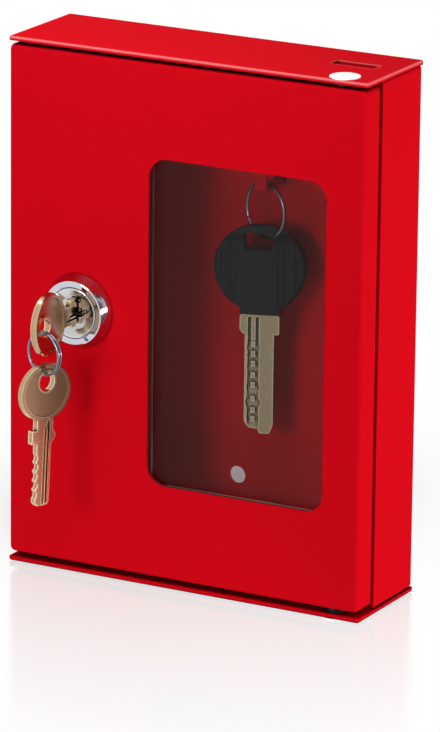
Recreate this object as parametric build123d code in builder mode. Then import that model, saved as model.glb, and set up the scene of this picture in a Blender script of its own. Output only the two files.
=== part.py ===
from build123d import *
import os
from math import cos, dist, pi, radians, sin

# Break glass key box: a wall box of folded red sheet steel whose riveted door has a
# glazed window, a wafer lock with two keys, and one emergency key hanging inside.
#
# Frame, in millimetres: X to the right seen from the front, Y back into the wall and
# Z up. The back face is Y = 0, and the origin lies midway between the two wall holes.

os.makedirs("parts", exist_ok=True)

# ---------------------------------------------------------------- driving dimensions
width = 110.0  # over the top and bottom plates
height = 150.0  # over the top and bottom plates
depth = 33.0
sheet = 0.8  # case and door sheet
plate = 1.2  # top and bottom plates
fit_gap = 0.05  # radial running clearance of shafts

# Case: the wrapped back and sides, inside the overhang of the plates
overhang = 0.3
case_front = -23.5  # front edge of the side walls
case_bend = 1.3
weld_flange = 6.5
wall_hole_r = 2.5
wall_hole_pitch = 100.0

# Door pan
door_left = -54.9
door_right = 54.5
top_gap = 0.9  # between the door and the top plate
low_gap = 1.45  # between the door and the bottom plate
door_front = -32.8
door_rear = -24.6
door_bend = 1.2
door_corner = 1.6

# Door pivots, riveted through the plates near the right front corner
pivot_x = 46.0
pivot_y = -28.7
pivot_r = 1.5
rivet_head_r = 4.2
rivet_head = 0.3

# Window and its glazing, from the front to the back
window_x = 16.15
window_z = 0.3
window_w = 54.3
window_h = 92.4
window_r = 5.5
seal = 0.8
glass = 2.0
glass_lap = 2.9  # glass beyond the window on every side
rail = 0.7
rail_foot = 4.2
rail_lip = 2.2

# Lock, with its depths measured back from the door's front face
lock_x = -32.6
lock_z = 0.6
bezel_r = 10.5
bezel_front_r = 8.95
bezel_h = 4.0
barrel_r = 9.2
barrel_flat = 8.1  # half the distance across the flats
barrel_end = 17.9
bore_r = 6.3
head_seat_r = 7.25
head_r = 7.08
head_seat = -1.2
nut_flats = 24.0
nut_t = 3.5
cam_start = 18.8
cam_t = 1.5
cam_len = 18.0
wafer_first = 1.5
wafer_pitch = 2.6
wafer_count = 5
wafer_t = 1.0
wafer_half = 3.9
wafer_spring_x = 4.7
wafer_spring_r = 0.5
wafer_ear = (1.0, 2.0)  # lower and upper level of the ear that sits on the spring
groove_reach = 7.2

# Lock keys, along their length from the bow's end
key_t = 1.9
key_len = 40.1
bow_len = 16.2
bow_w = 17.6
key_hole_at = 5.2
key_hole_r = 2.7
lug_from = 18.7
lug_to = 22.4
lug_half = 4.3  # on the side of the cuts
stop_half = 3.7  # rounded stop on the plain side
blade_half = 2.45
neck_half = 2.7
key_rim = 1.2
key_relief = 0.3
key_groove = (-0.15, 1.65)
key_ridge = (0.6, 0.9)
key_groove_d = 0.55
cut_depths = (0.4, 0.65, 0.45, 0.7, 0.5)
bow_out = 24.95  # bow's end in front of the door, with the key pushed home

# Split ring that joins the two keys
ring_r = 5.9
ring_wire = 0.4
ring_pitch = 0.88
ring_start = -108.0  # angle of the coil's first end, from the viewer's right
ring_sweep = 576.0
ring_steps = 12
ring_yaw = -14.5
ring_drop = 1.55  # wire below the middle of the first key's hole
ring_shift = 0.35  # ring beside the middle of the first key's thickness
spare_rise = 2.0  # wire above the middle of the second key's hole
spare_shift = 0.1  # second key beside the ring's lowest point
spare_yaw = 70.0
spare_lean = 3.0

# Hook for the emergency key, lanced from a bracket on the back wall
hook_x = 12.85
hook_w = 3.4
hook_t = 1.0
bracket_w = 28.8
bracket_low = 30.0
bracket_high = 58.0
bracket_corner = 4.4
hook_arm_z = 35.7  # underside of the arm
hook_tip_y = -13.5  # front of the upturned tip
hook_tip_z = 43.5

# Emergency key and its ring
safe_ring_r = 7.65
safe_wire = 0.5
safe_ring_x = 13.3
safe_ring_y = -11.0
safe_ring_gap = 0.75  # ring wire above the hook's arm
safe_ring_yaw = -20.5
safe_key_x = 12.1
safe_key_yaw = 17.5
safe_head_z = 14.6  # widest level of the head
safe_head_w = 25.8
safe_head_up = 11.4  # head above its widest level
safe_head_down = 13.2  # lower half of the oval
safe_head_cut = 11.6  # where the oval is cut off square
safe_neck = 13.6  # lower end of the neck under the oval
safe_neck_w = 10.8
safe_head_t = 4.6
safe_bar_t = 2.4  # bar above the slot
safe_slot_w = 8.0
safe_slot_h = 4.4
safe_blade_t = 2.9
safe_blade_w = 8.1
safe_shoulder_w = 11.0
safe_shoulder_h = 5.7
safe_blade_len = 34.0  # from the neck's lower end

# --------------------------------------------------------------------- worked values
top = height / 2
bottom = -height / 2
door_top = top - plate - top_gap
door_bottom = bottom + plate + low_gap
door_inner = door_front + sheet
seal_back = door_inner + seal
glass_back = seal_back + glass
glass_left = window_x - window_w / 2 - glass_lap
glass_right = window_x + window_w / 2 + glass_lap
glass_low = window_z - window_h / 2 - glass_lap
glass_high = window_z + window_h / 2 + glass_lap
wall_front = -sheet  # front of the back wall
case_half = width / 2 - overhang


def facing(y):
    """Upright plane at depth y that faces the viewer: x is X and y is Z."""
    return Plane((0, y, 0), x_dir=(1, 0, 0), z_dir=(0, -1, 0))


def lock_facing(s):
    """Upright plane on the lock's axis, s behind the door's front face."""
    return Plane((lock_x, door_front + s, lock_z), x_dir=(1, 0, 0), z_dir=(0, -1, 0))


def turned(origin, yaw):
    """Upright plane whose front is turned by yaw degrees to the viewer's right."""
    a = radians(yaw)
    return Plane(origin, x_dir=(cos(a), sin(a), 0), z_dir=(sin(a), -cos(a), 0))


lock_axis = Axis((lock_x, 0, lock_z), (0, 1, 0))
lock_section = Plane((lock_x, door_front, lock_z), x_dir=(0, 1, 0), z_dir=(1, 0, 0))

# --------------------------------------------------------------------------- the case
# Back and side walls in one folded sheet, with narrow flanges turned in above and
# below for the plates to be welded to. The front is open, and the side walls end bare.
with BuildPart() as case_shell:
    with BuildSketch(Plane.XY.offset(bottom + plate)) as case_plan:
        with Locations((0, case_front / 2)):
            Rectangle(2 * case_half, -case_front)
        fillet(case_plan.vertices().group_by(Axis.Y)[-1], case_bend)
    extrude(amount=height - 2 * plate)
    rim = case_shell.edges().group_by(Axis.Z)[0] + case_shell.edges().group_by(Axis.Z)[-1]
    fillet(rim.filter_by(lambda e: e.center().Y > case_front + 0.01), case_bend - 0.1)
    offset(amount=-sheet, openings=case_shell.faces().sort_by(Axis.Y)[0])
    with BuildSketch(Plane.XY.offset(bottom)):
        with Locations((0, (case_front - weld_flange) / 2)):
            Rectangle(2 * (case_half - weld_flange), -case_front - weld_flange)
    extrude(amount=height, mode=Mode.SUBTRACT)
    with BuildSketch(facing(0)):
        with GridLocations(0, wall_hole_pitch, 1, 2):
            Circle(wall_hole_r)
    extrude(amount=2 * sheet, mode=Mode.SUBTRACT)
case_shell.part.label = "case_shell"
export_step(case_shell.part, "parts/case_shell.step")

# Top and bottom plates: flat blanks that stand a little proud of the case all round.
# The top one is pierced by a slot for an accessory.
slot_x = 41.9
slot_y = -14.5
slot_w = 13.2
slot_d = 4.6
edge_round = 0.5
slot_round = 0.35
for name, low, pierced in (("top_plate", top - plate, True), ("bottom_plate", bottom, False)):
    with BuildPart() as plate_blank:
        with BuildSketch(Plane.XY.offset(low)) as blank:
            with Locations((0, -depth / 2)):
                RectangleRounded(width, depth, 0.8)
            with Locations((pivot_x, pivot_y)):
                Circle(pivot_r, mode=Mode.SUBTRACT)
            if pierced:
                with Locations((slot_x, slot_y)):
                    RectangleRounded(slot_w, slot_d, 0.5, mode=Mode.SUBTRACT)
        extrude(amount=plate)
        outer = plate_blank.faces().sort_by(Axis.Z)[-1 if pierced else 0]
        fillet(outer.outer_wire().edges(), edge_round)
        if pierced:
            upper = plate_blank.faces().sort_by(Axis.Z)[-1]
            fillet(upper.inner_wires().sort_by(Axis.X)[0].edges(), slot_round)
    plate_blank.part.label = name
    export_step(plate_blank.part, f"parts/{name}.step")

# Hook bracket, welded to the back wall: a flat blank with rounded corners, whose
# lanced tongue comes forward and turns up.
arm_top = hook_arm_z + hook_t
bracket_front = wall_front - hook_t
hook_section = Plane((hook_x, 0, 0), x_dir=(0, 1, 0), z_dir=(1, 0, 0))
with BuildPart() as hook_bracket:
    with BuildSketch(facing(wall_front)) as bracket:
        with Locations((hook_x, (bracket_low + bracket_high) / 2)):
            Rectangle(bracket_w, bracket_high - bracket_low)
        fillet(bracket.vertices(), bracket_corner)
        with Locations((hook_x, arm_top)):
            Rectangle(hook_w + 0.3, 19, align=(Align.CENTER, Align.MIN), mode=Mode.SUBTRACT)
    extrude(amount=hook_t)
    with BuildSketch(hook_section):
        with BuildLine() as tongue:
            FilletPolyline(
                (wall_front, hook_arm_z),
                (hook_tip_y, hook_arm_z),
                (hook_tip_y, hook_tip_z),
                radius=1.8,
            )
            FilletPolyline(
                (wall_front, arm_top),
                (hook_tip_y + hook_t, arm_top),
                (hook_tip_y + hook_t, hook_tip_z),
                radius=0.8,
            )
            Line((wall_front, hook_arm_z), (wall_front, arm_top))
            Line((hook_tip_y, hook_tip_z), (hook_tip_y + hook_t, hook_tip_z))
        make_face()
    extrude(amount=hook_w / 2, both=True)
    tip = hook_bracket.edges().filter_by(Axis.Y).sort_by(Axis.Z)
    tip = [e for e in tip if abs(e.center().Z - hook_tip_z) < 0.01]
    fillet(tip, 1.2)
hook_bracket.part.label = "hook_bracket"
export_step(hook_bracket.part, "parts/hook_bracket.step")

# Keeper: a small angle welded inside the lock-side wall, behind which the cam turns
keeper_back = door_front + cam_start - 0.5
keeper_reach = 8.4
keeper_h = 30.0
keeper_z = -3.0
with BuildPart() as latch_keeper:
    with BuildSketch(Plane.XY.offset(keeper_z - keeper_h / 2)) as angle:
        wall_in = -case_half + sheet
        with BuildLine():
            FilletPolyline(
                (wall_in, keeper_back + 9),
                (wall_in, keeper_back - sheet),
                (wall_in + keeper_reach, keeper_back - sheet),
                radius=1.2,
            )
            FilletPolyline(
                (wall_in + sheet, keeper_back + 9),
                (wall_in + sheet, keeper_back),
                (wall_in + keeper_reach, keeper_back),
                radius=0.4,
            )
            Line((wall_in, keeper_back + 9), (wall_in + sheet, keeper_back + 9))
            Line(
                (wall_in + keeper_reach, keeper_back - sheet),
                (wall_in + keeper_reach, keeper_back),
            )
        make_face()
    extrude(amount=keeper_h)
    lip_corners = latch_keeper.edges().filter_by(Axis.Y).group_by(Axis.X)[-1]
    fillet(lip_corners, 2.0)
latch_keeper.part.label = "latch_keeper"
export_step(latch_keeper.part, "parts/latch_keeper.step")

# --------------------------------------------------------------------------- the door
with BuildPart() as door_panel:
    with BuildSketch(facing(door_rear)) as door_outline:
        with Locations(((door_left + door_right) / 2, (door_top + door_bottom) / 2)):
            RectangleRounded(door_right - door_left, door_top - door_bottom, door_corner)
    extrude(amount=door_rear - door_front)
    fillet(door_panel.faces().sort_by(Axis.Y)[0].edges(), door_bend)
    offset(amount=-sheet, openings=door_panel.faces().sort_by(Axis.Y)[-1])
    with BuildSketch(facing(door_inner + 1)):
        with Locations((window_x, window_z)):
            RectangleRounded(window_w, window_h, window_r)
    extrude(amount=4, mode=Mode.SUBTRACT)
    with BuildSketch(lock_facing(sheet + 1)):
        Circle(barrel_r + 0.1)
        Rectangle(2 * barrel_flat + 0.2, 30, mode=Mode.INTERSECT)
    extrude(amount=4, mode=Mode.SUBTRACT)
    with BuildSketch(Plane.XY.offset(bottom)):
        with Locations((pivot_x, pivot_y)):
            Circle(pivot_r + fit_gap)
    extrude(amount=height, mode=Mode.SUBTRACT)
    hinge_side = door_panel.edges().filter_by(Axis.Z).group_by(Axis.Y)[-1]
    fillet(hinge_side.sort_by(Axis.X)[-1], 0.5)
door_panel.part.label = "door_panel"
export_step(door_panel.part, "parts/door_panel.step")

# Pivot rivets: a low domed head outside, a shank through plate, washer and door
# flange, and an upset end inside. The washer fills the gap between plate and door.
washer_r = 2.8
upset_r = 2.15
upset = 0.9
for name, way in (("top", 1), ("bottom", -1)):
    face = way * top
    flange_in = door_top - sheet if way > 0 else door_bottom + sheet
    with BuildPart() as pivot_rivet:
        with BuildSketch(Plane.XY.offset(face)):
            with Locations((pivot_x, pivot_y)):
                Circle(rivet_head_r)
        extrude(amount=way * rivet_head)
        rim = pivot_rivet.edges().sort_by(Axis.Z)[-1 if way > 0 else 0]
        fillet(rim, 0.2)
        with BuildSketch(Plane.XY.offset(flange_in - way * 0.1)):
            with Locations((pivot_x, pivot_y)):
                Circle(upset_r)
        extrude(amount=-way * upset)
        rim = pivot_rivet.edges().sort_by(Axis.Z)[0 if way > 0 else -1]
        fillet(rim, 0.35)
        with BuildSketch(Plane.XY.offset(face)):
            with Locations((pivot_x, pivot_y)):
                Circle(pivot_r)
        extrude(amount=flange_in - way * 0.1 - face)
    pivot_rivet.part.label = f"{name}_pivot_rivet"
    export_step(pivot_rivet.part, f"parts/{name}_pivot_rivet.step")

    washer_from = door_top if way > 0 else bottom + plate + 0.1
    with BuildPart() as pivot_washer:
        with BuildSketch(Plane.XY.offset(washer_from)):
            with Locations((pivot_x, pivot_y)):
                Circle(washer_r)
                Circle(pivot_r + fit_gap, mode=Mode.SUBTRACT)
        extrude(amount=(top_gap if way > 0 else low_gap) - 0.1)
    pivot_washer.part.label = f"{name}_pivot_washer"
    export_step(pivot_washer.part, f"parts/{name}_pivot_washer.step")

# Glazing seal: a flat rubber frame between the door sheet and the glass
with BuildPart() as window_seal:
    with BuildSketch(facing(seal_back)):
        with Locations((window_x, window_z)):
            Rectangle(window_w + 2 * glass_lap, window_h + 2 * glass_lap)
            RectangleRounded(window_w, window_h, window_r, mode=Mode.SUBTRACT)
    extrude(amount=seal)
window_seal.part.label = "window_seal"
export_step(window_seal.part, "parts/window_seal.step")

with BuildPart() as window_pane:
    with BuildSketch(facing(glass_back)):
        with Locations((window_x, window_z)):
            Rectangle(window_w + 2 * glass_lap, window_h + 2 * glass_lap)
    extrude(amount=glass)
window_pane.part.label = "window_pane"
export_step(window_pane.part, "parts/window_pane.step")

# Glazing rails: Z-shaped strips welded to the door's inside. A rail's section runs
# from its foot on the door sheet, up beside the glass edge and over the glass.
rail_rise = glass_back + 0.1 - door_inner
rail_ends = 1.5


def rail_section(section):
    """Closed Z section: x runs away from the glass edge, y runs back from the door."""
    with BuildSketch(section) as z_strip:
        with BuildLine():
            Polyline(
                (0.15, 0),
                (0.15 + rail_foot, 0),
                (0.15 + rail_foot, rail),
                (0.15 + rail, rail),
                (0.15 + rail, rail_rise + rail),
                (-rail_lip, rail_rise + rail),
                (-rail_lip, rail_rise),
                (0.15, rail_rise),
                close=True,
            )
        make_face()
    return z_strip.sketch


side_len = glass_high - glass_low - 2 * rail_ends
side_from = glass_low + rail_ends
low_len = glass_right - glass_left - 14
rails = (
    ("pane_rail_left", (glass_left, door_inner, side_from), (-1, 0, 0), (0, 0, -1), -side_len),
    ("pane_rail_right", (glass_right, door_inner, side_from), (1, 0, 0), (0, 0, 1), side_len),
    ("pane_rail_bottom", (window_x, door_inner, glass_low), (0, 0, -1), (1, 0, 0), low_len),
)
for name, origin, away, along, length in rails:
    with BuildPart() as pane_rail:
        start = Plane(origin, x_dir=away, z_dir=along)
        if name == "pane_rail_bottom":
            extrude(rail_section(start), amount=length / 2, both=True)
        else:
            extrude(rail_section(start), amount=length)
    pane_rail.part.label = name
    export_step(pane_rail.part, f"parts/{name}.step")

# Pane clip over the top edge of the glass, held by a nut on a stud welded to the door
clip_w = 16.0
stud_r = 1.5
stud_z = glass_high + 4.6
with BuildPart() as pane_clip:
    clip_plane = Plane((window_x, door_inner, glass_high), x_dir=(0, 0, 1), z_dir=(-1, 0, 0))
    with BuildSketch(clip_plane):
        with BuildLine():
            Polyline(
                (0.15, 0),
                (8.5, 0),
                (8.5, rail),
                (0.15 + rail, rail),
                (0.15 + rail, rail_rise + rail),
                (-rail_lip - 1, rail_rise + rail),
                (-rail_lip - 1, rail_rise),
                (0.15, rail_rise),
                close=True,
            )
        make_face()
    extrude(amount=clip_w / 2, both=True)
    with BuildSketch(facing(door_inner + 1)):
        with Locations((window_x, stud_z)):
            Circle(stud_r + 0.15)
    extrude(amount=2, mode=Mode.SUBTRACT)
    foot_corners = pane_clip.edges().filter_by(Axis.Y).group_by(Axis.Z)[-1]
    fillet(foot_corners, 2.5)
pane_clip.part.label = "pane_clip"
export_step(pane_clip.part, "parts/pane_clip.step")

with BuildPart() as pane_clip_stud:
    with BuildSketch(facing(door_inner + 5.2)):
        with Locations((window_x, stud_z)):
            Circle(stud_r)
    extrude(amount=5.2)
    chamfer(pane_clip_stud.faces().sort_by(Axis.Y)[-1].edges(), 0.3)
pane_clip_stud.part.label = "pane_clip_stud"
export_step(pane_clip_stud.part, "parts/pane_clip_stud.step")

with BuildPart() as pane_clip_nut:
    with BuildSketch(facing(door_inner + rail + 2.4)):
        with Locations((window_x, stud_z)):
            RegularPolygon(5.5 / 2, 6, major_radius=False)
            Circle(stud_r, mode=Mode.SUBTRACT)
    extrude(amount=2.4)
pane_clip_nut.part.label = "pane_clip_nut"
export_step(pane_clip_nut.part, "parts/pane_clip_nut.step")

# --------------------------------------------------------------------------- the lock
# Housing: a bevelled bezel and a flatted barrel in one casting, with a seat for the
# plug's head in the bezel and a bore for its body.
with BuildPart() as lock_housing:
    with BuildSketch(lock_section):
        with BuildLine():
            Polyline(
                (-bezel_h + 0.3, head_seat_r),
                (head_seat, head_seat_r),
                (head_seat, bore_r),
                (barrel_end, bore_r),
                (barrel_end, barrel_r - 0.5),
                (barrel_end - 0.5, barrel_r),
                (0, barrel_r),
                (0, bezel_r),
                (-0.5, bezel_r),
                (-bezel_h + 0.25, bezel_front_r + 0.05),
                (-bezel_h, bezel_front_r - 0.2),
                (-bezel_h, head_seat_r + 0.3),
                close=True,
            )
        make_face()
    revolve(axis=lock_axis)
    with BuildSketch(lock_facing(barrel_end)):
        with Locations((barrel_flat, 0)):
            Rectangle(4, 30, align=(Align.MIN, Align.CENTER))
        with Locations((-barrel_flat, 0)):
            Rectangle(4, 30, align=(Align.MAX, Align.CENTER))
    extrude(amount=barrel_end, mode=Mode.SUBTRACT)
    # grooves above and below the bore that take the wafers when the key is out
    with BuildSketch(lock_facing(barrel_end)):
        Rectangle(2 * wafer_half + 0.4, 2 * groove_reach)
    extrude(amount=barrel_end - wafer_first + wafer_t, mode=Mode.SUBTRACT)
lock_housing.part.label = "lock_housing"
export_step(lock_housing.part, "parts/lock_housing.step")

# Toothed washer and hexagon nut that clamp the housing to the door sheet
star_r = 11.4
star_teeth = 12
star_t = 0.7
with BuildPart() as lock_washer:
    with BuildSketch(lock_facing(sheet + star_t)):
        Circle(star_r - 1.2)
        with PolarLocations(star_r - 1.2, star_teeth):
            Rectangle(2.4, 2.6)
        Circle(barrel_r + 0.1, mode=Mode.SUBTRACT)
    extrude(amount=star_t)
lock_washer.part.label = "lock_washer"
export_step(lock_washer.part, "parts/lock_washer.step")

with BuildPart() as lock_nut:
    with BuildSketch(lock_facing(sheet + star_t + nut_t)):
        RegularPolygon(nut_flats / 2, 6, major_radius=False)
        Circle(barrel_r, mode=Mode.SUBTRACT)
    extrude(amount=nut_t)
    with BuildSketch(lock_section):
        with BuildLine():
            rear = sheet + star_t + nut_t
            Polyline((rear - 1.2, nut_flats / 2 + 2.1), (rear, nut_flats / 2), (rear, 20), close=True)
        make_face()
    revolve(axis=lock_axis, mode=Mode.SUBTRACT)
lock_nut.part.label = "lock_nut"
export_step(lock_nut.part, "parts/lock_nut.step")

# Plug: a dished head in the bezel, a body with a keyway and wafer slots, a groove for
# the retaining clip, and a square end for the cam.
plug_r = bore_r - fit_gap
head_front = -bezel_h + 0.15
dish_r = 4.7
dish_rim_r = 6.7
dish_floor = -2.4
clip_from = barrel_end + 0.05
clip_t = 0.6
clip_groove_r = 4.9
drive = 6.8  # across the square
screw_r = 1.7
screw_hole = 2.2
mouth_h = 7.6
slot_half = wafer_t / 2 + 0.06
with BuildPart() as lock_plug:
    with BuildSketch(lock_section):
        with BuildLine():
            Polyline(
                (dish_floor, 0),
                (dish_floor, dish_r),
                (head_front, dish_rim_r),
                (head_front, head_r - 0.15),
                (head_front + 0.15, head_r),
                (head_seat - 0.1, head_r),
                (head_seat - 0.1, plug_r),
                (clip_from, plug_r),
                (clip_from, clip_groove_r),
                (clip_from + clip_t, clip_groove_r),
                (clip_from + clip_t, plug_r - 0.7),
                (cam_start, plug_r - 0.7),
                (cam_start, 0),
                close=True,
            )
        make_face()
    revolve(axis=lock_axis)
    with BuildSketch(lock_facing(cam_start + cam_t)):
        Rectangle(drive, drive)
    extrude(amount=cam_t)
    # keyway for the blade, and its wider mouth with the pockets beside the wards
    with BuildSketch(lock_facing(barrel_end - 0.3)):
        SlotOverall(2 * blade_half + 0.5, key_t + 0.3, rotation=90)
        Rectangle(key_t + 0.3, 2 * blade_half + 0.3)
    extrude(amount=barrel_end + bezel_h, mode=Mode.SUBTRACT)
    with BuildSketch(lock_facing(-0.2)) as key_mouth:
        with Locations((0, 0.75)):
            Rectangle(key_t + 0.5, mouth_h)
        fillet(key_mouth.vertices(), 0.6)
        with Locations((1.1, 3.6)):
            Circle(1.0)
        with Locations((1.7, 0.2)):
            Circle(1.4)
        with Locations((-1.3, -2.0)):
            Circle(0.9)
    extrude(amount=bezel_h, mode=Mode.SUBTRACT)
    # wafer slots right through the body
    for n in range(wafer_count):
        with BuildSketch(lock_facing(wafer_first + n * wafer_pitch + slot_half)):
            Rectangle(2 * wafer_half + 0.12, 2 * plug_r + 2)
            with Locations((wafer_spring_x, 0.1)):
                Rectangle(1.6, 5.0)
        extrude(amount=2 * slot_half, mode=Mode.SUBTRACT)
    # tapped hole for the cam screw
    with BuildSketch(lock_facing(cam_start + cam_t)):
        Circle(screw_r)
    extrude(amount=screw_hole, mode=Mode.SUBTRACT)
lock_plug.part.label = "lock_plug"
export_step(lock_plug.part, "parts/lock_plug.step")

# Wafers: five flat brass plates with a window for the blade and an ear for a spring
with BuildPart() as lock_wafers:
    for n in range(wafer_count):
        with BuildSketch(lock_facing(wafer_first + n * wafer_pitch + wafer_t / 2)):
            Circle(plug_r - 0.1)
            Rectangle(2 * wafer_half, 20, mode=Mode.INTERSECT)
            with Locations((wafer_half - 0.5, sum(wafer_ear) / 2)):
                ear_w = wafer_spring_x + wafer_spring_r - wafer_half + 0.5
                ear_h = wafer_ear[1] - wafer_ear[0]
                Rectangle(ear_w, ear_h, align=(Align.MIN, Align.CENTER))
            Rectangle(key_t + 0.5, 2 * blade_half + 0.7, mode=Mode.SUBTRACT)
        extrude(amount=wafer_t)
lock_wafers.part.label = "lock_wafers"
export_step(lock_wafers.part, "parts/lock_wafers.step")

with BuildPart() as wafer_springs:
    with BuildSketch(Plane.XY.offset(lock_z - 2.4)):
        for n in range(wafer_count):
            middle = door_front + wafer_first + n * wafer_pitch
            with Locations((lock_x + wafer_spring_x, middle)):
                Circle(wafer_spring_r)
    extrude(amount=wafer_ear[0] + 2.4)
wafer_springs.part.label = "wafer_springs"
export_step(wafer_springs.part, "parts/wafer_springs.step")

# Retaining clip: an open ring sprung into the groove behind the barrel
with BuildPart() as plug_clip:
    with BuildSketch(lock_facing(clip_from + clip_t - 0.03)):
        Circle(7.2)
        Circle(clip_groove_r + 0.03, mode=Mode.SUBTRACT)
        with Locations((0, -6)):
            Rectangle(7.0, 12, mode=Mode.SUBTRACT)
    extrude(amount=clip_t - 0.06)
plug_clip.part.label = "plug_clip"
export_step(plug_clip.part, "parts/plug_clip.step")

# Cam, its washer and its screw
cam_w = 9.5
with BuildPart() as lock_cam:
    with BuildSketch(lock_facing(cam_start + cam_t)):
        Circle(6.6)
        with Locations((0, cam_len / 2)):
            RectangleRounded(cam_w, cam_len, 2.0)
        Rectangle(drive + 0.06, drive + 0.06, mode=Mode.SUBTRACT)
    extrude(amount=cam_t)
lock_cam.part.label = "lock_cam"
export_step(lock_cam.part, "parts/lock_cam.step")

cam_washer_t = 0.6
with BuildPart() as cam_washer:
    with BuildSketch(lock_facing(cam_start + cam_t + cam_washer_t)):
        Circle(5.6)
        Circle(screw_r + 0.15, mode=Mode.SUBTRACT)
    extrude(amount=cam_washer_t)
cam_washer.part.label = "cam_washer"
export_step(cam_washer.part, "parts/cam_washer.step")

screw_head_r = 3.8
screw_head_h = 2.4
screw_seat = cam_start + cam_t + cam_washer_t
with BuildPart() as cam_screw:
    with BuildSketch(lock_facing(screw_seat + screw_head_h)):
        Circle(screw_head_r)
    extrude(amount=screw_head_h)
    dome = cam_screw.faces().sort_by(Axis.Y)[-1]
    fillet(dome.edges(), 1.2)
    with BuildSketch(lock_facing(screw_seat)):
        Circle(screw_r)
    extrude(amount=cam_washer_t + screw_hole - 0.1)
    with BuildSketch(lock_facing(screw_seat + screw_head_h)):
        Rectangle(4.4, 0.9, rotation=35)
        Rectangle(4.4, 0.9, rotation=125)
    extrude(amount=1.3, mode=Mode.SUBTRACT)
cam_screw.part.label = "cam_screw"
export_step(cam_screw.part, "parts/cam_screw.step")

# --------------------------------------------------------------------- the lock's keys
# One key lying flat: x runs from the bow's end to the tip and the cuts face -y.
bow_mid = bow_len / 2
stop_r = (lug_to - lug_from) / 2
with BuildPart() as key_blank:
    with BuildSketch(Plane.XY.offset(-key_t / 2)) as profile:
        with Locations((bow_mid, 0)):
            Ellipse(bow_len / 2, bow_w / 2)
            Rectangle(lug_to - bow_mid, 2 * neck_half, align=(Align.MIN, Align.CENTER))
            Rectangle(key_len - bow_mid, 2 * blade_half, align=(Align.MIN, Align.CENTER))
        with Locations((lug_from, 0)):
            Rectangle(lug_to - lug_from, lug_half, align=(Align.MIN, Align.MAX))
        with Locations((lug_from + stop_r, stop_half - stop_r)):
            Circle(stop_r)
        tip_corners = profile.vertices().group_by(Axis.X)[-1]
        chamfer(tip_corners, 0.9)
    extrude(amount=key_t)
    bow_edges = key_blank.edges().filter_by(GeomType.ELLIPSE)
    chamfer(bow_edges, 0.35)
    with BuildSketch(Plane.XY.offset(-key_t / 2)):
        with Locations((key_hole_at, 0)):
            Circle(key_hole_r)
    extrude(amount=key_t, mode=Mode.SUBTRACT)
    # pressed relief of the bow, milled sides of the blade and one ridged groove a side
    for side in (1, -1):
        with BuildSketch(Plane.XY.offset(side * key_t / 2)):
            with Locations((bow_mid, 0)):
                Ellipse(bow_len / 2 - key_rim, bow_w / 2 - key_rim)
            with Locations((key_hole_at, 0)):
                Circle(key_hole_r + 0.6, mode=Mode.SUBTRACT)
        extrude(amount=-side * key_relief, mode=Mode.SUBTRACT)
        with BuildSketch(Plane.XY.offset(side * key_t / 2)):
            with Locations((lug_to - 0.6, 0)):
                Rectangle(30, 12, align=(Align.MIN, Align.CENTER))
        extrude(amount=-side * 0.12, mode=Mode.SUBTRACT)
        with BuildSketch(Plane.XY.offset(side * key_t / 2)):
            groove_full = bow_len + 2.2
            with BuildLine():
                Polyline(
                    (bow_len - 0.8, 1.5),
                    (groove_full, key_groove[0]),
                    (key_len + 1, key_groove[0]),
                    (key_len + 1, key_groove[1]),
                    (groove_full, key_groove[1]),
                    close=True,
                )
            make_face()
            with Locations((groove_full, sum(key_ridge) / 2)):
                ridge_w = key_ridge[1] - key_ridge[0]
                ridge_align = (Align.MIN, Align.CENTER)
                Rectangle(30, ridge_w, align=ridge_align, mode=Mode.SUBTRACT)
        extrude(amount=-side * key_groove_d, mode=Mode.SUBTRACT)
    # cuts, one for each wafer
    with BuildSketch(Plane.XY.offset(-key_t / 2)):
        for n, cut in enumerate(cut_depths):
            along = bow_out + wafer_first + n * wafer_pitch
            with BuildLine():
                Polyline(
                    (along - 1.25, -blade_half - 0.1),
                    (along - 0.5, cut - blade_half),
                    (along + 0.5, cut - blade_half),
                    (along + 1.25, -blade_half - 0.1),
                    close=True,
                )
            make_face()
    extrude(amount=key_t, mode=Mode.SUBTRACT)

# The first key stands in the lock with its cuts upwards.
bow_end = Vector(lock_x, door_front - bow_out, lock_z)
in_lock = Plane(bow_end, x_dir=(0, 1, 0), z_dir=(-1, 0, 0))
lock_key = key_blank.part.moved(Location(in_lock))
lock_key.label = "lock_key"
export_step(lock_key, "parts/lock_key.step")

# Split ring: one wire wound a little over a turn and a half, drawn as pairs of arcs
# that follow the winding and meet without a kink.
hole_centre = bow_end + Vector(0, key_hole_at, 0)
ring_centre = hole_centre + Vector(ring_shift, 0, -ring_drop - ring_r)
ring_plane = turned(ring_centre, ring_yaw)
ring_side = ring_plane.x_dir
ring_normal = ring_plane.z_dir


def winding(angle):
    """Point and unit tangent of the wire's centre line at an angle in degrees."""
    a = radians(angle)
    climb = ring_pitch / (2 * pi)
    point = ring_centre + ring_side * (ring_r * cos(a)) + Vector(0, 0, ring_r * sin(a))
    point += ring_normal * (ring_pitch * (angle - 270) / 360)
    heading = ring_side * (-ring_r * sin(a)) + Vector(0, 0, ring_r * cos(a))
    heading += ring_normal * climb
    return point, heading.normalized()


def arc_middle(start, corner, end):
    """Middle of the arc that is tangent to both legs of an isosceles corner."""
    chord_mid = (start + end) * 0.5
    rise = (corner - chord_mid).length
    leg = (corner - start).length
    half = (end - start).length / 2
    return chord_mid + (corner - chord_mid) * (half / (leg + half))


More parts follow.
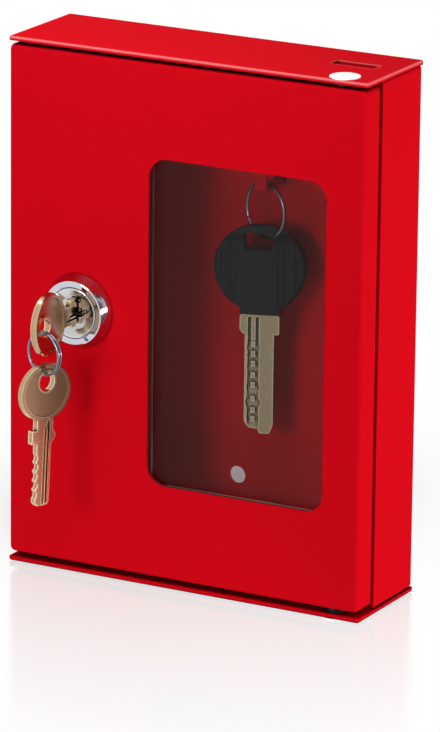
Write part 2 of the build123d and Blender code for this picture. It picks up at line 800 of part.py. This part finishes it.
with BuildPart() as key_ring:
    with BuildLine() as coil:
        for n in range(ring_steps):
            here, heading = winding(ring_start + n * ring_sweep / ring_steps)
            there, arriving = winding(ring_start + (n + 1) * ring_sweep / ring_steps)
            gap = there - here
            both = heading + arriving
            # leg length that makes the two corner points lie two legs apart
            a = both.dot(both) - 4
            b = -2 * gap.dot(both)
            c = gap.dot(gap)
            leg = (-b - (b * b - 4 * a * c) ** 0.5) / (2 * a)
            first = here + heading * leg
            second = there - arriving * leg
            joint = (first + second) * 0.5
            ThreePointArc(here, arc_middle(here, first, joint), joint)
            ThreePointArc(joint, arc_middle(joint, second, there), there)
    with BuildSketch(Plane(coil.line @ 0, z_dir=coil.line % 0)):
        Circle(ring_wire)
    sweep()
key_ring.part.label = "key_ring"
export_step(key_ring.part, "parts/key_ring.step")

# The second key hangs from the lowest point of the ring.
lean = radians(spare_lean)
facing_dir = turned((0, 0, 0), spare_yaw)
down = Vector(0, 0, -cos(lean)) - facing_dir.x_dir * sin(lean)
spare_hole = ring_centre + ring_side * spare_shift - ring_normal * (ring_pitch / 2)
spare_hole -= Vector(0, 0, ring_r + spare_rise)
hanging = Plane(spare_hole - down * key_hole_at, x_dir=down, z_dir=facing_dir.z_dir)
spare_key = key_blank.part.moved(Location(hanging))
spare_key.label = "spare_key"
export_step(spare_key, "parts/spare_key.step")

# ------------------------------------------------------------------ the emergency key
safe_ring_z = arm_top + safe_ring_gap + safe_wire - safe_ring_r
safe_ring_at = Vector(safe_ring_x, safe_ring_y, safe_ring_z)
with BuildPart() as emergency_ring:
    with BuildLine(turned(safe_ring_at, safe_ring_yaw)) as loop:
        CenterArc((0, 0), safe_ring_r, 208, 356)
    with BuildSketch(Plane(loop.line @ 0, z_dir=loop.line % 0)):
        Circle(safe_wire)
    sweep()
emergency_ring.part.label = "emergency_ring"
export_step(emergency_ring.part, "parts/emergency_ring.step")

# Head: a moulded oval, waisted where it grips the blade, with a slot near its top for
# the ring and grooves down both faces. The drawing plane is its middle plane.
head_plane = turned((safe_key_x, safe_ring_y, safe_head_z), safe_key_yaw)
half_w = safe_head_w / 2
half_t = safe_head_t / 2
slot_at = 6.85  # middle of the slot, above the widest level
slot_side = -0.4
tang_w = 7.0
tang_h = 9.0
head_grooves = (-10.7, -8.15, -7.0, 5.2, 6.7, 10.1)
groove_w = 0.5
groove_d = 0.4
relief_from = slot_at + 0.2
relief_to = slot_at + 2.0
with BuildPart() as emergency_key_head:
    with BuildSketch(head_plane.offset(-half_t)):
        Ellipse(half_w, safe_head_down)
        Rectangle(40, safe_head_cut, align=(Align.CENTER, Align.MAX), mode=Mode.INTERSECT)
    extrude(amount=safe_head_t)
    with BuildSketch(head_plane.offset(-half_t)):
        Ellipse(half_w, safe_head_up)
        Rectangle(40, 20, align=(Align.CENTER, Align.MIN), mode=Mode.INTERSECT)
    extrude(amount=safe_head_t)
    rims = emergency_key_head.edges().filter_by(GeomType.ELLIPSE)
    fillet(rims, 0.9)
    with BuildSketch(head_plane.offset(-half_t)):
        with Locations((0, -safe_head_cut + 1)):
            neck_h = safe_neck - safe_head_cut + 1
            Rectangle(safe_neck_w, neck_h, align=(Align.CENTER, Align.MAX))
    extrude(amount=safe_head_t)
    # slot for the ring, and both faces sloped away to a thinner bar above it
    with BuildSketch(head_plane.offset(-half_t)):
        with Locations((slot_side, slot_at)):
            RectangleRounded(safe_slot_w, safe_slot_h, 0.8)
    extrude(amount=safe_head_t, mode=Mode.SUBTRACT)
    side_on = Plane(head_plane.origin, x_dir=head_plane.z_dir, z_dir=-head_plane.x_dir)
    with BuildSketch(side_on):
        for side in (1, -1):
            with BuildLine():
                Polyline(
                    (side * half_t, relief_from),
                    (side * safe_bar_t / 2, relief_to),
                    (side * safe_bar_t / 2, safe_head_up + 1),
                    (side * (half_t + 1), safe_head_up + 1),
                    (side * (half_t + 1), relief_from),
                    close=True,
                )
            make_face()
    extrude(amount=half_w, both=True, mode=Mode.SUBTRACT)
    # grooves down both faces
    for side in (1, -1):
        with BuildSketch(head_plane.offset(side * half_t)):
            for at in head_grooves:
                with Locations((at, -1.5)):
                    Rectangle(groove_w, 2 * safe_head_up)
        extrude(amount=-side * groove_d, mode=Mode.SUBTRACT)
    # pocket for the blade's tang
    with BuildSketch(head_plane.offset(-safe_blade_t / 2)):
        with Locations((0, -safe_neck)):
            Rectangle(tang_w, 2 * tang_h)
    extrude(amount=safe_blade_t, mode=Mode.SUBTRACT)
emergency_key_head.part.label = "emergency_key_head"
export_step(emergency_key_head.part, "parts/emergency_key_head.step")

# Blade: a flat bar with a shoulder under the head, a milled wavy track and row of
# dimples on each face, and a tip cut away on the track's side.
track_x = -1.65
track_w = 3.1
track_d = 0.7
rib_w = 1.2
bulges = ((9.6, 1.75), (14.6, 1.65), (20.9, 1.8), (25.2, 2.05), (29.6, 1.7))
half_blade = safe_blade_w / 2
low_end = -safe_neck - safe_blade_len
with BuildPart() as emergency_key_blade:
    with BuildSketch(head_plane.offset(-safe_blade_t / 2)) as blade_profile:
        with BuildLine():
            half_s = safe_shoulder_w / 2
            step = -safe_neck - safe_shoulder_h
            Polyline(
                (-tang_w / 2, -safe_neck + tang_h),
                (tang_w / 2, -safe_neck + tang_h),
                (tang_w / 2, -safe_neck),
                (half_s - 0.6, -safe_neck),
                (half_s, -safe_neck - 0.6),
                (half_s, step + 0.3),
                (half_s - 0.3, step),
                (half_blade, step),
                (half_blade, low_end + 2.6),
                (half_blade - 0.9, low_end + 0.3),
                (half_blade - 1.3, low_end),
                (half_blade - 3.7, low_end),
                (half_blade - 4.3, low_end + 1.1),
                (-half_blade + 1.2, low_end + 1.3),
                (-half_blade, low_end + 3.5),
                (-half_blade, step),
                (-half_s + 0.9, step),
                (-half_s, step + 1.0),
                (-half_s, -safe_neck - 0.9),
                (-half_s + 0.9, -safe_neck),
                (-tang_w / 2, -safe_neck),
                close=True,
            )
        make_face()
    extrude(amount=safe_blade_t)
    for side in (1, -1):
        with BuildSketch(head_plane.offset(side * safe_blade_t / 2)):
            for along, bulge in bulges:
                with Locations((track_x, -safe_neck - along)):
                    Circle(bulge)
            with Locations((track_x, -safe_neck - 0.9)):
                Rectangle(track_w, 40, align=(Align.CENTER, Align.MAX))
            with Locations((track_x, -safe_neck - 0.9)):
                Rectangle(rib_w, 6.6, align=(Align.CENTER, Align.MAX), mode=Mode.SUBTRACT)
            for along in (8.6, 11.4, 14.2, 17.4, 20.2, 24.2, 27.4, 30.0):
                with Locations((track_x, -safe_neck - along)):
                    Rectangle(rib_w, 1.6, mode=Mode.SUBTRACT)
        extrude(amount=-side * track_d, mode=Mode.SUBTRACT)
emergency_key_blade.part.label = "emergency_key_blade"
export_step(emergency_key_blade.part, "parts/emergency_key_blade.step")
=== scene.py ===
# %% [markdown]
# # A break glass key box
#
# The object is a small wall box of folded red sheet steel. Its door has a window with
# a pane that is broken in an emergency, a wafer lock with two keys on a split ring, and
# one security key hangs inside on a lanced hook. The solids come from the CAD frame, so
# this scene only gives them their finish, their light and the photographer's viewpoint.

# %% Load the frame
import math

import bpy
from mathutils import Matrix, Vector


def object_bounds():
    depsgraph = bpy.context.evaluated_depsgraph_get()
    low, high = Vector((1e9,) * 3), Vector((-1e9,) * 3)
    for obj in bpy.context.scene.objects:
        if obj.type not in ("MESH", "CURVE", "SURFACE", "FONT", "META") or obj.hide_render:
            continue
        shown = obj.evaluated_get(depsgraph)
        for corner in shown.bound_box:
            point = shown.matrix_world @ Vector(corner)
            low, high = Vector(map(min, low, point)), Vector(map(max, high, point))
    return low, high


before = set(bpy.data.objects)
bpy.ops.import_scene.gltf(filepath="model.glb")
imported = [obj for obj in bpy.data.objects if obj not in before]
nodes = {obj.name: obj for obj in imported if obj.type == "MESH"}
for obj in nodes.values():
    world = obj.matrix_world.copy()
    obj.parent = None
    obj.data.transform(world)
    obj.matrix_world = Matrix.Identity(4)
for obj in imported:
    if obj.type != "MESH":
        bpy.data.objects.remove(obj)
cad_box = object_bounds()
low, high = Vector(cad_box[0]), Vector(cad_box[1])
print("box in mm:", [round(v * 1000, 1) for v in high - low])

# %% [markdown]
# ## The viewpoint
#
# The upright edges of the box hardly converge, so the photograph was taken with a long
# lens. The viewer stands to the right of the door's front and looks a little down.
# A camera could be placed by its position and aimed with a constraint, but turning it
# about a point on the object keeps apart the three numbers that a photograph shows: the
# turn to the right, the tilt down, and the slight roll of the frame.

# %% Camera
MM = 0.001  # Blender works in metres
VIEW_TURN = math.radians(28.53)
VIEW_TILT = math.radians(16.18)
VIEW_ROLL = math.radians(0.635)
VIEW_POINT = Vector((-10.86, 8.38, -22.38)) * MM
VIEW_DISTANCE = 1572.6 * MM
LENS_MM = 460.3
SENSOR_MM = 36.0

camera_data = bpy.data.cameras.new("viewpoint")
camera_data.sensor_fit = "HORIZONTAL"
camera_data.sensor_width = SENSOR_MM
camera_data.lens = LENS_MM
camera_data.clip_start = 0.05
camera_data.clip_end = 20
camera = bpy.data.objects.new("viewpoint", camera_data)
bpy.context.scene.collection.objects.link(camera)
turn = Matrix.Rotation(VIEW_TURN, 4, "Z")
tilt = Matrix.Rotation(math.pi / 2 - VIEW_TILT, 4, "X")
roll = Matrix.Rotation(VIEW_ROLL, 4, "Z")
aim = turn @ tilt @ roll
back_off = Matrix.Translation((0, 0, VIEW_DISTANCE))
camera.matrix_world = Matrix.Translation(VIEW_POINT) @ aim @ back_off
bpy.context.scene.camera = camera
print("camera at", [round(v, 3) for v in camera.matrix_world.translation])

# %% [markdown]
# ## A white studio
#
# The box stands on white. A huge bright room would give that, but it would also wash
# out the box. The Light Path node tells rays apart instead: the camera, mirrors and the
# glass see white, and every other ray finds a calm grey room and a plain pale floor, so
# that the lamps alone shape the box. The helpers for colours and nodes come first.

# %% Helpers for nodes and colours


def linear(hex_code):
    """The four linear channels of an sRGB hex colour such as "#CC0A1A"."""
    channels = [int(hex_code[i : i + 2], 16) / 255 for i in (1, 3, 5)]
    curved = [c / 12.92 if c <= 0.04045 else ((c + 0.055) / 1.055) ** 2.4 for c in channels]
    return (*curved, 1.0)


def add(tree, kind, inputs=None, **settings):
    """Adds a node. inputs maps a socket's name or number to a value or to a link."""
    node = tree.nodes.new("ShaderNode" + kind)
    for key, value in settings.items():
        setattr(node, key, value)
    for key, value in (inputs or {}).items():
        if isinstance(value, bpy.types.NodeSocket):
            tree.links.new(value, node.inputs[key])
        else:
            node.inputs[key].default_value = value
    return node


def white_rays(tree):
    """A socket that is 1 for rays of the camera, of glass and of mirrors, and 0 for others."""
    rays = add(tree, "LightPath")
    seen = rays.outputs["Is Camera Ray"]
    for kind in ("Is Transmission Ray", "Is Glossy Ray"):
        either = add(tree, "Math", {0: seen, 1: rays.outputs[kind]}, operation="MAXIMUM")
        seen = either.outputs[0]
    return seen


def new_material(name):
    """An empty node material, its tree and its output node."""
    material = bpy.data.materials.new(name)
    material.use_nodes = True
    material.node_tree.nodes.clear()
    output = material.node_tree.nodes.new("ShaderNodeOutputMaterial")
    return material, material.node_tree, output


print("mid grey is", round(linear("#808080")[0], 3), "in linear light")

# %% World
WHITE = (1, 1, 1, 1)
WORLD_GREY = linear("#C9C9CB")
WORLD_STRENGTH = 0.12

world = bpy.data.worlds.new("studio")
bpy.context.scene.world = world
world.use_nodes = True
sky = world.node_tree
sky.nodes.clear()
calm = add(sky, "Background", {"Color": WORLD_GREY, "Strength": WORLD_STRENGTH})
white = add(sky, "Background", {"Color": WHITE, "Strength": 1.0})
choice = add(sky, "MixShader", {0: white_rays(sky), 1: calm.outputs[0], 2: white.outputs[0]})
sky_output = sky.nodes.new("ShaderNodeOutputWorld")
sky.links.new(choice.outputs[0], sky_output.inputs["Surface"])
print("world made with", len(sky.nodes), "nodes")

# %% [markdown]
# The floor is a sheet of white acrylic. An oval patch behind the box isn't lifted to
# white and keeps the shadow, because the camera sees that spot through the lower wall
# hole, where the photograph is dim. A glossy layer mirrors the box faintly. It is
# stronger at a flat angle, as on any polished sheet, and fades away from the box, so
# that the far floor stays pure white and meets the background without an edge.

# %% Floor
FLOOR_HALF = 3.0
SHADE_CENTRE = Vector((-0.038, 0.045, low.z))
SHADE_REACH = Vector((0.038, 0.047, 1.0))  # half width and half depth; height doesn't count
SHADE_FALL = 4.0  # a higher power gives the patch a harder edge
GLOSS_CENTRE = Vector((-0.035, 0.06, low.z))
GLOSS_FROM, GLOSS_TO = 0.10, 0.24  # distances between which the mirror image fades out
GLOSS_ROUGHNESS = 0.16
GLOSS_IOR = 1.9  # above acrylic's 1.49, for an image as strong as the photograph's

floor_mesh = bpy.data.meshes.new("studio_floor")
signs = [(-1, -1), (1, -1), (1, 1), (-1, 1)]
corners = [(x * FLOOR_HALF, y * FLOOR_HALF, low.z) for x, y in signs]
floor_mesh.from_pydata(corners, [], [(0, 1, 2, 3)])
floor = bpy.data.objects.new("studio_floor", floor_mesh)
bpy.context.scene.collection.objects.link(floor)

floor_material, tree, output = new_material("white_acrylic_sweep")
place = add(tree, "TexCoord").outputs["Object"]
behind = add(tree, "VectorMath", {0: place, 1: SHADE_CENTRE}, operation="SUBTRACT")
behind = add(tree, "VectorMath", {0: behind.outputs[0], 1: SHADE_REACH}, operation="DIVIDE")
reach = add(tree, "VectorMath", {0: behind.outputs[0]}, operation="LENGTH")
shade = add(tree, "Math", {0: reach.outputs["Value"], 1: -SHADE_FALL}, operation="POWER")
share = add(tree, "Math", {0: 1.0, 1: shade.outputs[0]}, operation="SUBTRACT", use_clamp=True)
lit = add(tree, "BsdfDiffuse", {"Color": linear("#F6F4F3")})
glow = add(tree, "Emission", {"Color": WHITE, "Strength": 1.0})
lifted = add(tree, "MixShader", {0: share.outputs[0], 1: lit.outputs[0], 2: glow.outputs[0]})
shown = add(tree, "MixShader", {0: white_rays(tree), 1: lit.outputs[0], 2: lifted.outputs[0]})
gloss = add(tree, "BsdfAnisotropic", {"Color": WHITE, "Roughness": GLOSS_ROUGHNESS})
mirror = add(tree, "Fresnel", {"IOR": GLOSS_IOR})
away = add(tree, "VectorMath", {0: place, 1: GLOSS_CENTRE}, operation="DISTANCE")
fade = {"From Min": GLOSS_FROM, "From Max": GLOSS_TO, "To Min": 1.0, "To Max": 0.0}
near = add(tree, "MapRange", {"Value": away.outputs["Value"], **fade})
shine = add(tree, "Math", {0: mirror.outputs[0], 1: near.outputs[0]}, operation="MULTIPLY")
shine = add(tree, "Math", {0: shine.outputs[0], 1: share.outputs[0]}, operation="MULTIPLY")
polished = add(tree, "MixShader", {0: shine.outputs[0], 1: shown.outputs[0], 2: gloss.outputs[0]})
tree.links.new(polished.outputs[0], output.inputs["Surface"])
floor_mesh.materials.append(floor_material)
print("floor at z =", round(low.z, 4), "m")

# %% [markdown]
# Four area lamps light the box. Sun lamps would be simpler, but their light is even and
# hard, and the photograph's is soft and fades down the door. The front one stands a
# little to the left and also lights the key through the pane. The one on the right
# lights the hinge side, the high one the lid and the upper part of the door, and the
# last one fills the back, which the main view doesn't see.

# %% Lamps


def softbox(name, place, target, size, watts):
    """A rectangular area lamp at place that faces target, in metres and watts."""
    lamp = bpy.data.lights.new(name, "AREA")
    lamp.shape = "RECTANGLE"
    lamp.size, lamp.size_y = size
    lamp.energy = watts
    holder = bpy.data.objects.new(name, lamp)
    bpy.context.scene.collection.objects.link(holder)
    holder.location = place
    gaze = Vector(target) - Vector(place)
    holder.rotation_euler = gaze.to_track_quat("-Z", "Y").to_euler()
    holder.visible_camera = False
    return holder


lamps = [
    softbox("front_softbox", (-0.055, -0.42, 0.07), (-0.02, 0, 0.03), (0.12, 0.12), 0.5),
    softbox("right_strip", (0.50, 0.02, 0.0), (0.055, 0, -0.03), (0.14, 0.12), 1.3),
    softbox("high_softbox", (-0.05, -0.10, 0.29), (0, -0.02, 0.05), (0.3, 0.1), 0.66),
    softbox("back_fill", (0.04, 0.55, -0.01), (0, 0, 0), (0.2, 0.1), 0.9),
]
print("lamps in watts:", {lamp.name: round(lamp.data.energy, 2) for lamp in lamps})

# %% [markdown]
# ## Powder-coated steel
#
# The case and the door are sheet steel with a sprayed and baked polyester powder, in a
# strong signal red. It flows out to an even skin with a faint orange peel. The real
# coat is a dielectric of IOR 1.5, but the photograph's flat faces mirror almost
# nothing, so the specular level is kept close to zero. Ambient occlusion finds the
# seams and corners, which get a painted shade in dark red. The lid's edges are pale in
# the photograph. Its edges that lean upward get a painted highlight in pale red. A Bevel
# node finds them: it rounds the shading normal near an edge, so the normal leans there
# although the plate around it is level.

# %% Red powder coat
# the seam red is a painted shade, and the rim red a painted highlight
POWDER_RED, POWDER_SHADE, SEAM_SHADE_RED = "#E60C1C", "#DA0B1A", "#3C0208"
EDGE_HIGHLIGHT_RED = "#FF747A"
TONE_MM = 110  # the slow drift of the colour over the box
PEEL_MM = 1.6  # orange peel, as wide as on a real coat
PEEL_DEPTH_MM = 0.02
SEAM_MM = 2.2  # how far from a corner the painted seam shade reaches
EDGE_HIGHLIGHT_MM = 0.6  # how far from an edge the painted highlight reaches


def powder_coat(name, edge_highlight=None):
    """Satin red paint with painted shade in the seams, and a painted highlight on upper edges if a
    highlight colour is given.
    """
    material, tree, output = new_material(name)
    place = add(tree, "TexCoord").outputs["Object"]
    tone = add(tree, "TexNoise", {"Vector": place, "Scale": 1 / (TONE_MM * MM), "Detail": 2.0})
    tint_inputs = {0: tone.outputs["Fac"], 6: linear(POWDER_RED), 7: linear(POWDER_SHADE)}
    tint = add(tree, "Mix", tint_inputs, data_type="RGBA")
    peel = add(tree, "TexNoise", {"Vector": place, "Scale": 1 / (PEEL_MM * MM), "Detail": 1.0})
    peel_relief = {"Height": peel.outputs["Fac"], "Strength": 0.05, "Distance": PEEL_DEPTH_MM * MM}
    bump = add(tree, "Bump", peel_relief)
    # painted shade: ambient occlusion darkens seams and corners to a dark red
    nearby = add(tree, "AmbientOcclusion", {"Distance": SEAM_MM * MM}, samples=6)
    clear = add(tree, "MapRange", {"Value": nearby.outputs["AO"], "From Min": 0.3, "From Max": 0.75})
    seam_inputs = {0: clear.outputs[0], 6: linear(SEAM_SHADE_RED), 7: tint.outputs[2]}
    colour = add(tree, "Mix", seam_inputs, data_type="RGBA").outputs[2]
    # painted highlight: edges whose normal leans upward get a pale red
    if edge_highlight:
        rounded = add(tree, "Bevel", {"Radius": EDGE_HIGHLIGHT_MM * MM}, samples=8)
        facing = add(tree, "SeparateXYZ", {0: rounded.outputs["Normal"]})
        level_off = add(tree, "Math", {0: 1.0, 1: facing.outputs["Z"]}, operation="SUBTRACT")
        # z times 1 - z is nought on level and on upright faces, and grows between them
        lean_inputs = {0: facing.outputs["Z"], 1: level_off.outputs[0]}
        lean = add(tree, "Math", lean_inputs, operation="MULTIPLY")
        edge = add(tree, "MapRange", {"Value": lean.outputs[0], "From Min": 0.02, "From Max": 0.10})
        edge_inputs = {0: edge.outputs[0], 6: colour, 7: linear(edge_highlight)}
        colour = add(tree, "Mix", edge_inputs, data_type="RGBA").outputs[2]
    skin = {"Base Color": colour, "Normal": bump.outputs[0], "Roughness": 0.35}
    coat = {"IOR": 1.5, "Specular IOR Level": 0.0005}
    paint = add(tree, "BsdfPrincipled", {**skin, **coat})
    tree.links.new(paint.outputs[0], output.inputs["Surface"])
    return material


red_powder = powder_coat("red_polyester_powder_coat")
# the lid gets a painted highlight on its upper edges
lid_powder = powder_coat("red_powder_coat_with_painted_edge_highlight", edge_highlight=EDGE_HIGHLIGHT_RED)
print("paints:", red_powder.name, "and", lid_powder.name)

# %% [markdown]
# ## Bare metals
#
# Seven metals show or lie inside. Each could be a flat colour with full metallic, but
# old keys and plated parts are never even: their edges are rubbed bright. Ambient
# occlusion taken outside the metal finds the hollows, which get painted shade, and
# taken inside it finds the edges, which get a paler colour that is partly wear and
# partly painted highlight, so one function gives all seven. They differ in tint, in
# roughness and in grain. The grains are drawn coarser than real ones, which are a few
# hundredths of a millimetre and would not show.

# %% Metal finishes
GRAIN_DEPTH_MM = 0.001
HOLLOW_SHADE_MM = 1.2  # how far the painted shade reaches out of a corner
EDGE_WEAR_AND_HIGHLIGHT_MM = 0.6  # how wide the paler edge is, partly wear and partly painted highlight


def bare_metal(name, colour, hollow_shade, edge_wear_and_highlight, roughness, grain_mm, hollow_shade_mm=HOLLOW_SHADE_MM, mottle=0.05):
    """Metal with a fine grain, painted shade in its hollows, and paler edges that are partly wear and
    partly painted highlight.
    """
    material, tree, output = new_material(name)
    place = add(tree, "TexCoord").outputs["Object"]
    grain_inputs = {"Vector": place, "Scale": 1 / (grain_mm * MM), "Detail": 3.0}
    grain = add(tree, "TexNoise", grain_inputs).outputs["Fac"]
    spread = {"From Min": 0.3, "From Max": 0.7, "To Min": max(0.02, roughness - mottle)}
    rough = add(tree, "MapRange", {"Value": grain, **spread, "To Max": roughness + mottle})
    grain_relief = {"Height": grain, "Strength": 0.1, "Distance": GRAIN_DEPTH_MM * MM}
    bump = add(tree, "Bump", grain_relief)
    # painted shade: hollows found by ambient occlusion get the darker colour
    outside = {"Distance": hollow_shade_mm * MM}
    open_sky = add(tree, "AmbientOcclusion", outside, samples=8, only_local=True)
    unshaded = add(tree, "MapRange", {"Value": open_sky.outputs["AO"], "From Min": 0.5, "From Max": 0.92})
    tint_inputs = {0: unshaded.outputs[0], 6: linear(hollow_shade), 7: linear(colour)}
    tint = add(tree, "Mix", tint_inputs, data_type="RGBA")
    # paler edges: partly wear and partly painted highlight
    inward = {"Distance": EDGE_WEAR_AND_HIGHLIGHT_MM * MM}
    depth = add(tree, "AmbientOcclusion", inward, samples=8, inside=True, only_local=True)
    edge = add(tree, "MapRange", {"Value": depth.outputs["AO"], "From Min": 0.9, "From Max": 0.55})
    edge_inputs = {0: edge.outputs[0], 6: tint.outputs[2], 7: linear(edge_wear_and_highlight)}
    tint = add(tree, "Mix", edge_inputs, data_type="RGBA")
    relief = {"Roughness": rough.outputs[0], "Normal": bump.outputs[0]}
    metal = add(tree, "BsdfPrincipled", {"Base Color": tint.outputs[2], "Metallic": 1.0, **relief})
    tree.links.new(metal.outputs[0], output.inputs["Surface"])
    return material


# Electroplated zinc with a clear passivation: nearly white and milky, on rivets and hidden steel
bright_zinc = bare_metal("bright_zinc_plate", "#EDEDEB", "#8A8A88", "#F2F2F0", 0.45, 0.5)
# Polished zinc die casting under chrome: a cool mirror, on the lock's bezel
chrome = bare_metal("polished_chrome_plate", "#CBCBD6", "#5C5C64", "#CFCFDA", 0.06, 2.0, mottle=0.02)
# Turned and nickel plated: a softer, warmer mirror, with painted shade darkening its keyway
nickel_plug = bare_metal(
    "turned_nickel_plate", "#C9C6C8", "#1E1B18", "#DDDBDF", 0.12, 0.8, hollow_shade_mm=3.5, mottle=0.03
)
# Stamped brass whose nickel has worn off: warm, on the lock keys, with pale yellow edges that are
# partly wear and partly painted highlight
key_brass = bare_metal("worn_nickel_on_brass", "#B79B7A", "#5A4630", "#F0E2C0", 0.2, 0.5, mottle=0.02)
# Milled nickel silver: grey-gold and satin, with painted shade, nearly black, in its cuts
nickel_silver = bare_metal("milled_nickel_silver", "#A09074", "#120F0B", "#C9BDA2", 0.3, 0.5)
# Drawn spring steel: a dark blue-grey with bright lines along the wire
spring_wire = bare_metal("drawn_spring_wire", "#7C7C88", "#2A2932", "#7C7C88", 0.22, 0.3)
# Stamped brass sheet, yellow and bare
wafer_brass = bare_metal("stamped_wafer_brass", "#D2B067", "#6A5428", "#D8BC80", 0.3, 0.3)
metals = [bright_zinc, chrome, nickel_plug, key_brass, nickel_silver, spring_wire, wafer_brass]
print("metals:", [metal.name for metal in metals])

# %% [markdown]
# ## Moulded plastic and rubber
#
# The security key's head is glass-filled nylon, moulded in a spark-eroded tool that
# leaves fine pits. It could be a plain black, but its grooves only show because less
# light reaches them, so they get a darker black. The glazing seal is die-cut rubber,
# matt and a little rough. Both are dielectrics: a dark colour under a weak, soft sheen.

# %% Plastic and rubber
SPARK_MM = 0.25  # about twice as coarse as real pits, so that they show
SPARK_DEPTH_MM = 0.03
SKIN_MM = 0.4  # coarser than the rubber's talc-fine skin, so that it shows
SKIN_DEPTH_MM = 0.02

head_nylon, tree, output = new_material("black_filled_nylon")
place = add(tree, "TexCoord").outputs["Object"]
spark = add(tree, "TexNoise", {"Vector": place, "Scale": 1 / (SPARK_MM * MM), "Detail": 2.0})
spark_relief = {"Height": spark.outputs["Fac"], "Strength": 0.12, "Distance": SPARK_DEPTH_MM * MM}
bump = add(tree, "Bump", spark_relief)
# painted shade: grooves found by ambient occlusion get a darker black
open_sky = add(tree, "AmbientOcclusion", {"Distance": HOLLOW_SHADE_MM * MM}, samples=8, only_local=True)
unshaded = add(tree, "MapRange", {"Value": open_sky.outputs["AO"], "From Min": 0.55, "From Max": 0.95})
tint_inputs = {0: unshaded.outputs[0], 6: linear("#030303"), 7: linear("#161A18")}
tint = add(tree, "Mix", tint_inputs, data_type="RGBA")
nylon = {"Base Color": tint.outputs[2], "Roughness": 0.45, "IOR": 1.53, "Specular IOR Level": 0.15}
plastic = add(tree, "BsdfPrincipled", {**nylon, "Normal": bump.outputs[0]})
tree.links.new(plastic.outputs[0], output.inputs["Surface"])

seal_rubber, tree, output = new_material("die_cut_rubber")
place = add(tree, "TexCoord").outputs["Object"]
skin = add(tree, "TexNoise", {"Vector": place, "Scale": 1 / (SKIN_MM * MM), "Detail": 2.0})
skin_relief = {"Height": skin.outputs["Fac"], "Strength": 0.3, "Distance": SKIN_DEPTH_MM * MM}
bump = add(tree, "Bump", skin_relief)
black = {"Base Color": linear("#141416"), "Roughness": 0.65}
rubber = add(tree, "BsdfPrincipled", {**black, "Normal": bump.outputs[0]})
tree.links.new(rubber.outputs[0], output.inputs["Surface"])
print("soft black finishes:", head_nylon.name, "and", seal_rubber.name)

# %% [markdown]
# ## Float glass
#
# The pane is plain float glass. In Cycles a refracting glass stops the lamps' direct
# light, which would leave the inside of the box dark and grainy. So the pane is made
# with alpha: it is mostly clear, lets the lamps through, and still mirrors. Its
# near-black tint stands for the dark veil that the photograph shows over the inside,
# and is partly the glass's faint tint and partly painted shade. A ray crosses two
# faces, so the veil counts twice.

# %% Glass
WAVE_MM = 40  # the slow roll of float glass
WAVE_DEPTH_MM = 0.05
VEIL = 0.16  # how much each face of the pane covers, partly as painted shade

float_glass, tree, output = new_material("float_glass")
place = add(tree, "TexCoord").outputs["Object"]
wave = add(tree, "TexNoise", {"Vector": place, "Scale": 1 / (WAVE_MM * MM), "Detail": 0.0})
wave_relief = {"Height": wave.outputs["Fac"], "Strength": 0.1, "Distance": WAVE_DEPTH_MM * MM}
bump = add(tree, "Bump", wave_relief)
# the near-black tint under alpha is partly painted shade over the inside
tinted = {"Base Color": linear("#0C0B0D"), "Roughness": 0.03, "IOR": 1.52, "Alpha": VEIL}
glass = add(tree, "BsdfPrincipled", {**tinted, "Specular IOR Level": 0.5, "Normal": bump.outputs[0]})
tree.links.new(glass.outputs[0], output.inputs["Surface"])
print("the pane lets through", round((1 - VEIL) ** 2, 2), "of the light")

# %% [markdown]
# ## Dressing the solids
#
# Each CAD node keeps its mesh and gets one finish. The table goes from finish to nodes,
# because few finishes serve many nodes, and the line that it prints names any node that
# was left out.

# %% Give each node its finish
finishes = {
    red_powder: ["case_shell", "bottom_plate", "hook_bracket", "latch_keeper", "door_panel"],
    lid_powder: ["top_plate"],
    bright_zinc: [
        "top_pivot_rivet", "bottom_pivot_rivet",
        "pane_rail_left", "pane_rail_right", "pane_rail_bottom", "pane_clip", "pane_clip_stud",
        "pane_clip_nut", "lock_washer", "lock_nut", "lock_cam", "cam_washer", "cam_screw",
    ],
    chrome: ["lock_housing"],
    nickel_plug: ["lock_plug"],
    key_brass: ["lock_key", "spare_key"],
    nickel_silver: ["emergency_key_blade"],
    spring_wire: ["key_ring", "emergency_ring", "wafer_springs", "plug_clip"],
    wafer_brass: ["lock_wafers"],
    head_nylon: ["emergency_key_head", "top_pivot_washer", "bottom_pivot_washer"],
    seal_rubber: ["window_seal"],
    float_glass: ["window_pane"],
}
dressed = set()
for finish, names in finishes.items():
    for name in names:
        for slot in nodes[name].material_slots:
            slot.material = finish
        dressed.add(name)
print("nodes without a finish:", sorted(set(nodes) - dressed))

# %% [markdown]
# ## The end
#
# Nothing here changes a solid, so the box round the dressed part has to be the box
# round the CAD part. The last cell only sets the view transform.

# %% The view transform, and the end of the script
bpy.context.scene.view_settings.view_transform = "Standard"
